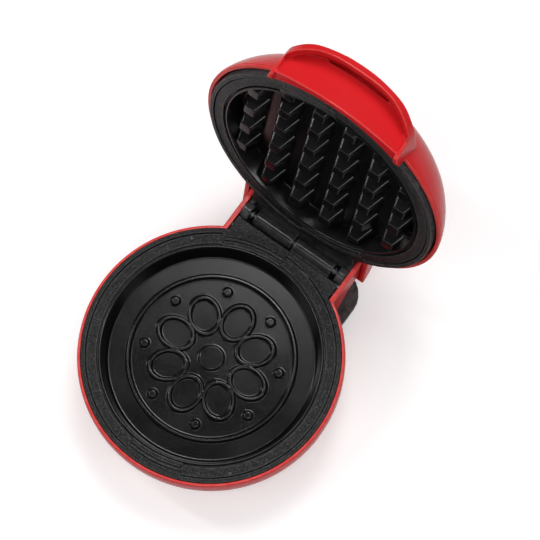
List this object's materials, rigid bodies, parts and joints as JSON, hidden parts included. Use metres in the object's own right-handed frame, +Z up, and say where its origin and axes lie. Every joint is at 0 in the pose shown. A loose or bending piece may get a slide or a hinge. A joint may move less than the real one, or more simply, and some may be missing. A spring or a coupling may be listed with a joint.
{
  "type": "mini waffle maker",
  "caption": "Small round waffle maker with a domed lid standing open on a rear hinge, a pegged upper plate, a dished lower plate and a brow-shaped lid handle.",
  "frame": {"origin": "on the table, straight under the middle of the round base; the flat cover under the base is 1.2 mm above it", "axes": "+Z up, +Y from the middle of the base towards the hinge, +X to the right when facing the hinge"},
  "size_m": [0.13, 0.1927, 0.1711],
  "materials": {
    "red_shell": "high gloss moulded red",
    "black_rim": "finely textured satin black",
    "cook_plate": "black nonstick coating over cast aluminium",
    "heater_sheath": "dull oxidised metal sheath",
    "heat_shield": "plain pressed sheet",
    "ceramic_body": "unglazed off-white",
    "steel_fixing": "bright zinc plate",
    "hinge_steel": "polished steel",
    "rubber": "dull black rubber",
    "lead_sleeve": "woven glass sleeving",
    "indicator_lens": "clear-tinted gloss"
  },
  "bodies": {
    "base": {"lower_housing": "red_shell", "lower_rim": "black_rim", "lower_cook_plate": "cook_plate", "lower_heater": "heater_sheath", "lower_shield": "heat_shield", "thermostat": "ceramic_body", "thermal_fuse": "steel_fixing", "terminal_block": "ceramic_body", "base_cover": "black_rim", "cord_gland": "rubber", "hinge_pin": "hinge_steel", "lead_block_to_fuse": "lead_sleeve", "lead_fuse_to_thermostat": "lead_sleeve", "lead_thermostat_to_heater": "lead_sleeve", "lead_heater_to_block": "lead_sleeve", "rubber_foot_1": "rubber", "rubber_foot_2": "rubber", "rubber_foot_3": "rubber", "rubber_foot_4": "rubber", "pin_clip_left": "hinge_steel", "pin_clip_right": "hinge_steel", "cover_screw_1": "steel_fixing", "cover_screw_2": "steel_fixing", "cover_screw_3": "steel_fixing", "cover_screw_4": "steel_fixing", "lower_rim_screw_1": "steel_fixing", "lower_rim_screw_2": "steel_fixing", "lower_rim_screw_3": "steel_fixing"},
    "lid": {"lid_shell": "red_shell", "handle": "red_shell", "upper_rim": "black_rim", "upper_cook_plate": "cook_plate", "upper_heater": "heater_sheath", "upper_shield": "heat_shield", "indicator_lens": "indicator_lens", "indicator_lamp": "ceramic_body", "lamp_lead_left": "lead_sleeve", "lamp_lead_right": "lead_sleeve", "handle_screw_left": "steel_fixing", "handle_screw_right": "steel_fixing", "upper_rim_screw_1": "steel_fixing", "upper_rim_screw_2": "steel_fixing", "upper_rim_screw_3": "steel_fixing"}
  },
  "joints": [
    {"name": "lid_hinge", "type": "hinge", "parent": "base", "child": "lid", "pos_m": [0, 0.0679, 0.0341], "axis": [1, 0, 0], "range_deg": [0, 104.4]}
  ]
}
